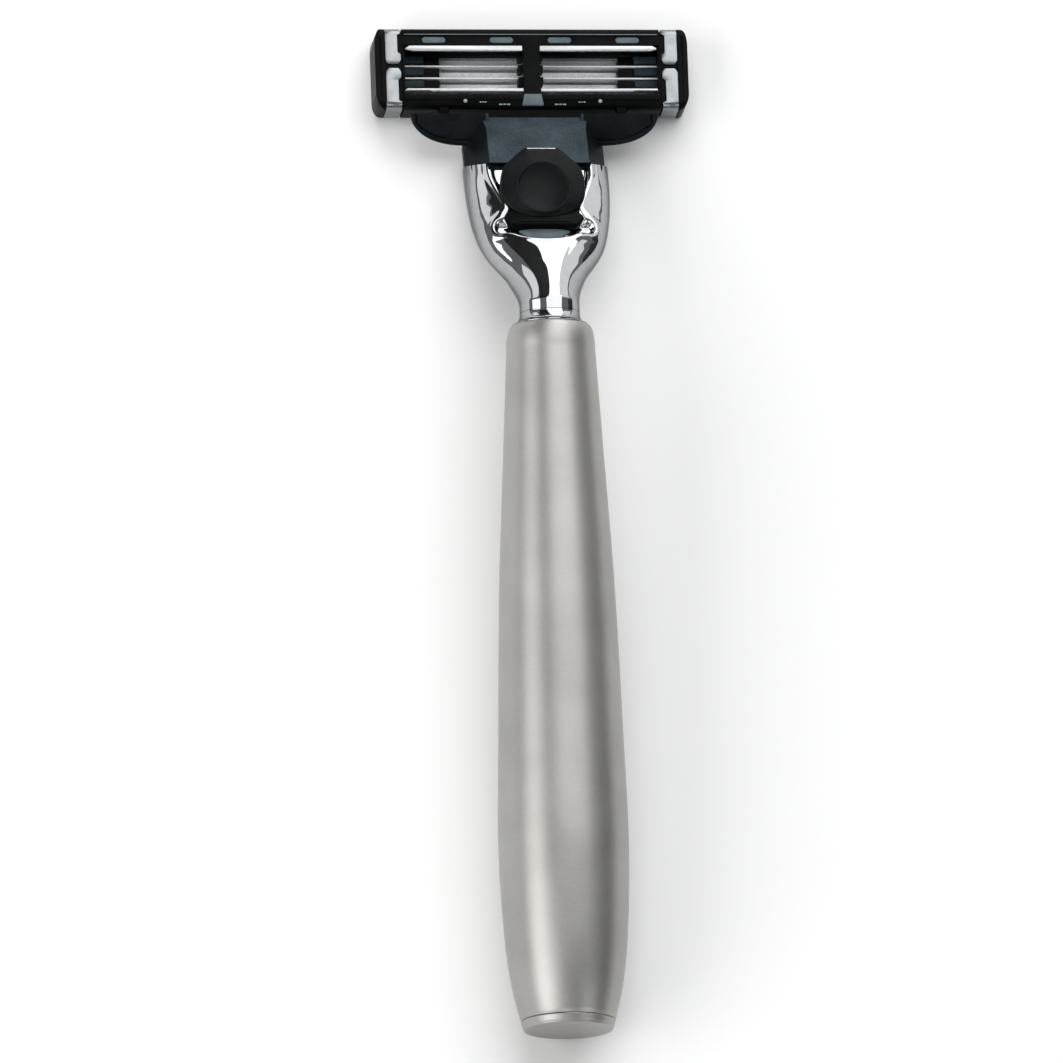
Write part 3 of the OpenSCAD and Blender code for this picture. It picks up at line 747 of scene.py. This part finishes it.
def shade_sides(cover):
    """Paints shade on the hood's slanted sides, its rim and the wings: they get a darker, smoother copy of the
    plastic than its flat back.
    """
    cover.data.materials.append(MATERIALS["painted_shade_plastic"])
    inverse = FORK.inverted()
    turn = inverse.to_3x3().normalized()
    for face in cover.data.polygons:
        normal = turn @ face.normal
        at = inverse @ face.center
        if abs(normal.x) > 0.3 or abs(at.x) > HOOD_BACK_HW - 0.1 or at.z < HOOD_BOTTOM + 0.3:
            face.material_index = 1


cover = merge(make_hood(), [make_wing(1), make_wing(-1)])
shade_sides(piece(cover, "interconnect_skin", "interconnect", "grey_plastic", "interconnect"))
piece(make_rails(), "interconnect_rails", "interconnect", "black_plastic")

# ---- Cartridge housing ----
CART_W, CART_H, CART_D, CORNER_R = 42.0, 11.3, 5.4, 1.1
CLIP_X0, CLIP_X1, CLIP_T = 17.3, 19.6, 0.28
WINDOW_X0, WINDOW_X1, WINDOW_Y0, WINDOW_Y1 = 1.1, 17.2, 2.0, 8.85
BAY_HW, BAY_Y0, BAY_Y1, WEB_Z = 18.2, 2.3, 8.6, 4.05
LEG_Y1, PITCH = 3.55, 1.68
BACK = CART_D


def leg_y(i):
    """Where the leg of a blade's support stands."""
    return LEG_Y1 + i * PITCH


def section(inset=0.0, r=CORNER_R):
    """The cartridge's cross-section."""
    return rounded_rectangle(inset, CART_H - inset, inset, CART_D - inset, r)


def make_end(side):
    """One end of the housing, rounded at its outer corners."""
    half = CART_W / 2
    end = prism(section(), *sorted((side * (CLIP_X1 + 0.03), side * half)), "x", CARTRIDGE, "end")
    plan = [(CLIP_X1 - 1, -0.01)]
    # Both outer corners are quarter ellipses: (reach inwards, reach along the end).
    (low_x, low_y), (high_x, high_y) = (1.35, 2.2), (1.05, 2.4)
    quarter = np.linspace(0, math.pi / 2, 9)
    plan += [(half - low_x + low_x * math.cos(t), low_y - low_y * math.sin(t)) for t in quarter[::-1]]
    plan += [(half - high_x + high_x * math.cos(t), CART_H - high_y + high_y * math.sin(t)) for t in quarter]
    plan.append((CLIP_X1 - 1, CART_H + 0.01))
    plan = [(side * x, y) for x, y in plan]
    combine(end, [prism(plan, -1, CART_D + 1, "z", CARTRIDGE, "plan")], "INTERSECT")
    groove_x = side * 20.25
    groove = box((groove_x - 0.09, 1.6, BACK - 0.22), (groove_x + 0.09, CART_H - 1.2, BACK + 1), CARTRIDGE)
    combine(end, [groove], "DIFFERENCE")
    return bevel(end, 0.2, 3, 30, 40)


def stadium(cx, cy, half_l, half_w, z0, z1):
    """A flat piece with round ends."""
    outline = rounded_rectangle(cx - half_l, cx + half_l, cy - half_w, cy + half_w, half_w * 0.98)
    return prism(outline, z0, z1, "z", CARTRIDGE)


RECESS_X, RECESS_Y = (3.9, 13.0), 9.62
STRIP_HW, STEP_HW = 16.9, 17.6


def make_bay():
    """The space that the blades and their supports stand in, to be cut out."""
    return box((-BAY_HW, BAY_Y0, -1), (BAY_HW, BAY_Y1, WEB_Z - 0.15), CARTRIDGE)


def make_housing():
    """The frame with its windows, slots, shelves and recesses, seats for the clips, and the ends."""
    bar = prism(section(), -CLIP_X0 + 0.03, CLIP_X0 - 0.03, "x", CARTRIDGE, "housing")
    cuts = [make_bay()]
    cuts += both_sides((WINDOW_X0, WINDOW_Y0, WEB_Z - 0.3), (WINDOW_X1, WINDOW_Y1, CART_D + 1), CARTRIDGE)
    # Beds for the guard and the lubricating strip.
    bed_hw = STRIP_HW + 0.05
    cuts.append(box((-bed_hw, 0.2, -1), (bed_hw, BAY_Y0 + 0.5, 0.95), CARTRIDGE))
    cuts.append(box((-bed_hw, 8.95, -1), (bed_hw, 10.9, 1.25), CARTRIDGE))
    # A shallow step runs along the cap edge, with a thin ridge left inside it.
    cuts.append(box((-STEP_HW, 10.42, BACK - 0.16), (STEP_HW, CART_H + 1, BACK + 1), CARTRIDGE))
    cuts += both_sides((1.6, 9.0, BACK - 0.12), (STEP_HW, 10.2, BACK + 1), CARTRIDGE)
    # The guard side has a flat shelf that the wings turn over.
    cuts.append(box((-STEP_HW, -1, BACK - 0.14), (STEP_HW, 1.25, BACK + 1), CARTRIDGE))
    for x in RECESS_X:
        cuts += [stadium(s * x, RECESS_Y, 1.75, 0.5, BACK - 0.4, BACK + 1) for s in (1, -1)]
    # Slots for the rails.
    for s in (1, -1):
        x0, x1 = sorted((s * (RAIL_X0 - 0.2), s * (RAIL_X1 + 0.2)))
        cuts.append(prism(arc_profile(RAIL_IN - 0.05, RAIL_OUT + 0.05, -38, 60), x0, x1, "x", PIVOT))
    combine(bar, cuts, "DIFFERENCE")
    bevel(bar, 0.09, 2, 30, 40)
    seat = section(CLIP_T + 0.03, CORNER_R - CLIP_T)
    cores = []
    for s in (1, -1):
        x0, x1 = sorted((s * (CLIP_X0 - 0.3), s * (CLIP_X1 + 0.1)))
        cores.append(combine(prism(seat, x0, x1, "x", CARTRIDGE), [make_bay()], "DIFFERENCE"))
    # Thin bridges inside the windows, next to the middle web, carry the blades' ends.
    teeth = []
    for i in range(3):
        y = leg_y(i)
        low, high = (WINDOW_X0 - 0.1, y + 0.2, 2.4), (WINDOW_X0 + 0.55, y + 1.2, WEB_Z + 0.1)
        teeth += both_sides(low, high, CARTRIDGE)
        teeth += both_sides((12.0, y + 0.12, 1.5), (14.1, y + 1.3, 2.1), CARTRIDGE)
    return merge(bar, cores + [make_end(1), make_end(-1)] + teeth)


def make_fingers():
    """Three springy fingers show at the outer end of each window."""
    fingers = []
    for i in range(3):
        fingers += both_sides((14.15, leg_y(i) + 0.22, 1.65), (17.15, leg_y(i) + 1.2, 2.65), CARTRIDGE)
    for finger in fingers:
        bevel(finger, 0.08, 2)
    return merge(fingers[0], fingers[1:])


def make_accents():
    """Pale parts of the housing's back: the recesses' floors and the cam pad, and the cap edge's ridge, whose pale
    colour is a painted highlight.
    """
    places = [s * x for x in RECESS_X for s in (1, -1)]
    floors = [stadium(x, RECESS_Y, 1.6, 0.42, BACK - 0.42, BACK - 0.30) for x in places]
    for floor in floors:
        bevel(floor, 0.08, 2)
    pad_outline = [(-1.45, 0.35), (1.45, 0.35), (1.15, 1.95), (-1.15, 1.95)]
    pad = prism(pad_outline, BACK - 0.2, BACK + 0.33, "z", CARTRIDGE)
    # The ridge's pale colour paints the highlight along the cap edge's bevel.
    ridge = box((-17.0, 10.22, BACK - 0.2), (17.0, 10.4, BACK), CARTRIDGE)
    return merge(bevel(ridge, 0.05, 2), floors + [bevel(pad, 0.12, 2)])


def make_pips():
    """Moulded witness marks on the lower bar: two dashes and a pip on each side, in a pale finish that paints
    their highlights.
    """
    parts = []
    for s in (1, -1):
        for x, half, y in ((3.75, 0.8, 0.5), (6.65, 0.5, 0.82)):
            for k in range(3):
                third = 2 * half / 3
                x0 = s * x - half + k * third
                low, high = (x0, y + 0.03 * (k % 2), BACK - 0.3), (x0 + third - 0.09, y + 0.17, BACK - 0.02)
                parts.append(bevel(box(low, high, CARTRIDGE), 0.04, 2))
        parts.append(bevel(stadium(s * 9.05, 1.05, 0.26, 0.25, BACK - 0.3, BACK + 0.05), 0.05, 2))
    return merge(parts.pop(), parts)


piece(make_pips(), "housing_pips", "blade_unit", "grey_plastic", look="painted_glint_marks")
piece(make_housing(), "housing_skin", "blade_unit", "black_plastic", "cartridge_housing")
# The fingers' blue-grey, lighter than the black housing, paints the light on their sloped faces.
piece(make_fingers(), "window_fingers", "blade_unit", "grey_plastic")
piece(make_accents(), "housing_accents", "blade_unit", "grey_plastic", look="pale_plastic")


# ---- Guard and lubricating strip ----
def make_guard():
    """A rubber bed with five fins between two end blocks."""
    fin_hw, first, pitch, fin_w = STRIP_HW - 0.5, 0.32, 0.42, 0.22
    base = box((-STRIP_HW, 0.25, 0.32), (STRIP_HW, 2.2, 0.9), CARTRIDGE)
    fins = []
    for y in (first + pitch * k for k in range(5)):
        fins.append(bevel(box((-fin_hw, y, 0.0), (fin_hw, y + fin_w, 0.4), CARTRIDGE), 0.06, 2))
    ends = both_sides((fin_hw, 0.3, 0.05), (STRIP_HW, 2.15, 0.4), CARTRIDGE)
    return merge(bevel(base, 0.05, 2), fins + ends)


def make_strip():
    """A low, rounded strip that rises towards the blades."""
    y0, width, foot, front = 9.0, 1.85, 1.2, 0.35
    profile = [(y0, foot), (y0, front)]
    for t in np.linspace(0.06, 1, 16):
        profile.append((y0 + width * t, front - 0.3 * math.sin(math.pi * t) + 0.25 * t * t))
    profile.append((y0 + width, foot))
    return bevel(prism(profile, -STRIP_HW, STRIP_HW, "x", CARTRIDGE, "strip"), 0.1, 3, 40)


piece(make_guard(), "guard_strip_skin", "blade_unit", "guard_rubber", "guard_strip")
piece(make_strip(), "lubricating_strip_skin", "blade_unit", "strip_polymer", "lubricating_strip")


# ---- Bright bars at the windows' edges ----
def make_bars():
    """Rounded bars; the upper one slopes at its outer end and the lower one steps down."""
    z0, z1 = BACK - 0.45, BACK - 0.1
    x0, x1 = WINDOW_X0 + 0.02, WINDOW_X1 - 0.3
    upper = [(x0, 8.0), (15.9, 8.0), (x1, 8.25), (x1, 8.45), (16.3, 8.84), (x0, 8.84)]
    lower = [(x0, 2.36), (13.4, 2.36), (13.9, 2.5), (x1, 2.5), (x1, 2.86), (x0, 2.86)]
    parts = []
    for s in (1, -1):
        for outline in (upper, lower):
            parts.append(bevel(prism([(s * x, y) for x, y in outline], z0, z1, "z", CARTRIDGE), 0.11, 3))
    return merge(parts.pop(), parts)


piece(make_bars(), "inner_bars_skin", "blade_unit", "blade_steel", "inner_bars")

# ---- Clips ----
CLIP_SPLIT, CLIP_GAP = 5.9, 0.55


def clip_path(inset):
    """The strip's path round the cartridge, from the upper tab's end to the lower tab's end."""
    r = CORNER_R - inset
    lo, hi_y, hi_z = inset, CART_H - inset, CART_D - inset
    # Distances of a tab's points from the middle of the split, from its free end to past the notch.
    tab = (CLIP_GAP / 2, CLIP_GAP / 2 + 0.25, CLIP_GAP / 2 + 0.6, 1.6, 1.95)
    path = [(CLIP_SPLIT + d, hi_z) for d in tab]
    bends = ((hi_y - r, hi_z - r, 90), (hi_y - r, lo + r, 0), (lo + r, lo + r, -90), (lo + r, hi_z - r, -180))
    for cy, cz, start in bends:
        for k in range(9):
            a = math.radians(start - 90 * k / 8)
            path.append((cy + r * math.cos(a), cz + r * math.sin(a)))
    return path + [(CLIP_SPLIT - d, hi_z) for d in reversed(tab)]


def make_clip(side):
    """A flat strip bent round the cartridge, with a gap between its two ends on the back."""
    outer, inner = clip_path(0.0), clip_path(CLIP_T)
    n = len(outer)
    points = []
    for i in range(n):
        from_end = min(i, n - 1 - i)
        # The free corners are chamfered, and a notch narrows the tab on its inner side.
        chamfer = {0: 0.42, 1: 0.17}.get(from_end, 0.0)
        notch = 0.42 if from_end in (4, 5) else 0.0
        x0, x1 = CLIP_X0 + 0.2 + chamfer + notch, CLIP_X1 - chamfer
        for p in (outer[i], inner[i]):
            points += [(side * x0, p[0], p[1]), (side * x1, p[0], p[1])]
    faces = []
    for i in range(n - 1):
        a, b = 4 * i, 4 * (i + 1)
        faces += [(a, a + 1, b + 1, b), (a + 2, b + 2, b + 3, a + 3)]
        faces += [(a, b, b + 2, a + 2), (a + 1, a + 3, b + 3, b + 1)]
    faces += [(0, 2, 3, 1), (4 * n - 4, 4 * n - 3, 4 * n - 1, 4 * n - 2)]
    clip = mesh_object("clip", points, faces, CARTRIDGE)
    fix_normals(clip)
    return bevel(clip, 0.07, 2, 40, 40)


piece(make_clip(-1), "clip_left_skin", "blade_unit", "clip_aluminium", "clip_left")
piece(make_clip(1), "clip_right_skin", "blade_unit", "clip_aluminium", "clip_right")

# ---- Blades on their bent supports ----
BLADE_HW, WIDE_HW = 18.0, 11.9
LEG_T, LEG_BACK, PLATE_Z, PLATE_SLOPE, PLATE_L = 0.25, 2.4, 0.36, 22.0, 1.5
BLADE_T, BLADE_REACH, BLADE_L = 0.1, 0.65, 1.4


def sloped(y, z, i):
    """From along and out of the sloping plate to the cartridge's y and z."""
    a = math.radians(PLATE_SLOPE)
    return leg_y(i) + y * math.cos(a) - z * math.sin(a), PLATE_Z + y * math.sin(a) + z * math.cos(a)


def make_support(i):
    """A leg and a sloping plate of one bent strip. The plate is narrower where the springs press."""
    y = leg_y(i)
    leg = box((-BLADE_HW, y - LEG_T, PLATE_Z + 0.02), (BLADE_HW, y, LEG_BACK), CARTRIDGE)
    wide, narrow = (
        [sloped(-LEG_T, 0, i), sloped(reach, 0, i), sloped(reach, LEG_T, i), sloped(-LEG_T, LEG_T, i)]
        for reach in (PLATE_L - LEG_T, 0.45))
    plates = [prism(wide, -WIDE_HW, WIDE_HW, "x", CARTRIDGE)]
    plates += [prism(narrow, *sorted((s * WIDE_HW, s * BLADE_HW)), "x", CARTRIDGE) for s in (1, -1)]
    for part in [leg] + plates:
        bevel(part, 0.06, 3)
    return merge(leg, plates)


def make_blade(i):
    """A ground blade, whose two facets meet at the edge."""
    lift = -0.02 - BLADE_T
    side = [(0, BLADE_T), (0.08, 0.04), (0.35, 0), (BLADE_L, 0), (BLADE_L, BLADE_T)]
    profile = [sloped(along - BLADE_REACH, out + lift, i) for along, out in side]
    return prism(profile, -BLADE_HW + 0.8, BLADE_HW - 0.8, "x", CARTRIDGE, "blade")


for index, body in enumerate(("blade_a", "blade_b", "blade_c")):
    support, blade = f"blade_support_{index + 1}", f"blade_{index + 1}"
    # The plates' pale finish paints the light that they catch.
    piece(make_support(index), f"{support}_skin", body, "blade_steel", support, look="painted_sheen_steel")
    piece(make_blade(index), f"{blade}_skin", body, "blade_steel", blade)

# ---- Hidden parts keep their CAD shape ----
for node, slot in (("threaded_stud", "steel"), ("nose_insert", "black_plastic"), ("button_springs", "steel"),
                   ("plunger", "black_plastic"), ("plunger_spring", "steel")):
    data = frame["nodes"][node].data
    data.materials.clear()
    data.materials.append(MATERIALS[slot])


# ---- Studio: lengths in metres ----
AIM = Vector((0, 0, 0.01))
FLOOR_SIZE = 6.0


def studio_material(name, dark, light, size, detail):
    """Two close greys in soft clouds, whose size is in mm."""
    n = Nodes(name)
    tint = n.ramp(n.noise(size, detail), [(dark,) * 3, (light,) * 3], [0.3, 0.7])
    n.link(tint, n.shader.inputs["Base Color"])
    return n


def sheet(name, width, length, material):
    """A flat rectangle round its own origin."""
    mesh = bpy.data.meshes.new(name)
    w, h = width / 2, length / 2
    mesh.from_pydata([(-w, -h, 0), (w, -h, 0), (w, h, 0), (-w, h, 0)], [], [(0, 1, 2, 3)])
    mesh.materials.append(material)
    obj = bpy.data.objects.new(name, mesh)
    bpy.context.scene.collection.objects.link(obj)
    return obj


def facing(sideways, ahead, distance, front):
    """Placement above the razor, with the face to AIM and the long side along the lean.

    sideways is the angle from straight up towards +X, ahead the lean towards +Y. front is 1
    for something whose face looks along its z axis, and -1 for a light, which looks back."""
    t, e = math.radians(sideways), math.radians(ahead)
    centre = Vector((math.sin(t) * math.cos(e), math.sin(e), math.cos(t) * math.cos(e))) * distance
    along = Vector((-math.sin(t) * math.sin(e), math.cos(e), -math.cos(t) * math.sin(e)))
    z = (AIM - centre).normalized() * front
    y = (along - z * along.dot(z)).normalized()
    x = y.cross(z)
    return Matrix([[x[i], y[i], z[i], centre[i]] for i in range(3)] + [[0, 0, 0, 1]])


def card(name, sideways, ahead, distance, width, length, grey):
    """A flat dark studio card. The camera doesn't see it, and it only shows in reflections."""
    obj = sheet(name, width, length, studio_material(name, 0.97 * grey, grey, 300, 2).material)
    obj.matrix_world = facing(sideways, ahead, distance, 1)
    obj.visible_camera = False
    obj.visible_shadow = False
    obj.visible_diffuse = False


def softbox(name, sideways, ahead, distance, width, length, radiance, colour=(1, 1, 1), diffuse=True):
    """A rectangular light. Without diffuse it only shows in reflections."""
    data = bpy.data.lights.new(name, "AREA")
    data.shape, data.size, data.size_y = "RECTANGLE", width, length
    data.energy = radiance * math.pi * width * length
    data.color = colour
    obj = bpy.data.objects.new(name, data)
    bpy.context.scene.collection.objects.link(obj)
    obj.matrix_world = facing(sideways, ahead, distance, -1)
    obj.visible_camera = False
    obj.visible_diffuse = diffuse


def make_floor():
    """The pale, plain floor that the razor lies on."""
    n = studio_material("floor", 0.93, 0.95, 120, 3)
    n.shader.inputs["Roughness"].default_value = 0.85
    n.shader.inputs["Specular IOR Level"].default_value = 0.1
    sheet("floor", FLOOR_SIZE, FLOOR_SIZE, n.material)


make_floor()
softbox("key", -58, -14, 1.0, 0.62, 1.15, 2.8, colour=(1.0, 0.99, 0.97))
softbox("top", 11, 30, 1.2, 1.35, 1.05, 2.2)
softbox("far", 8, 66, 1.1, 0.9, 0.6, 2.7)
softbox("front", -12, -44, 1.3, 0.5, 0.4, 2.0)
softbox("right_fill", 66, 44, 1.0, 0.5, 0.6, 1.2, diffuse=False)
softbox("butt_fill", 52, -34, 1.2, 0.8, 0.45, 1.9, diffuse=False)
softbox("bridge", -30, -14, 1.25, 0.35, 0.4, 1.8, diffuse=False)
softbox("left_fill", -70, 46, 1.0, 0.3, 0.4, 1.3, diffuse=False)
card("dark_right", 79, -14, 0.7, 0.34, 0.9, 0.012)
card("dark_left", -30, 47, 0.75, 0.38, 0.78, 0.003)

scene = bpy.context.scene
scene.world = bpy.data.worlds.new("studio")
scene.world.use_nodes = True
background = scene.world.node_tree.nodes["Background"]
background.inputs["Color"].default_value = (0.97, 0.985, 1.0, 1)
background.inputs["Strength"].default_value = 0.27

# ---- Camera ----
CAMERA_AZIMUTH, CAMERA_ELEVATION, CAMERA_ROLL = -23.81, 72.07, 22.80
CAMERA_DISTANCE, VIEW_WIDTH = 6.0, 0.1407
CAMERA_TARGET = Vector((-4.90, -6.0, 25.36)) * MM
SENSOR_WIDTH = 36
a, e = math.radians(CAMERA_AZIMUTH), math.radians(CAMERA_ELEVATION)
towards_camera = Vector((math.sin(a) * math.cos(e), -math.cos(a) * math.cos(e), math.sin(e)))
camera_data = bpy.data.cameras.new("camera")
camera_data.sensor_width = SENSOR_WIDTH
camera_data.lens = SENSOR_WIDTH * CAMERA_DISTANCE / VIEW_WIDTH
camera_data.clip_start, camera_data.clip_end = 0.1, 60
camera = bpy.data.objects.new("camera", camera_data)
scene.collection.objects.link(camera)
camera.rotation_mode = "QUATERNION"
camera.location = CAMERA_TARGET + towards_camera * CAMERA_DISTANCE
level = towards_camera.to_track_quat("Z", "Y")
camera.rotation_quaternion = level @ Matrix.Rotation(math.radians(CAMERA_ROLL), 3, "Z").to_quaternion()
scene.camera = camera
scene.view_settings.view_transform = "Standard"
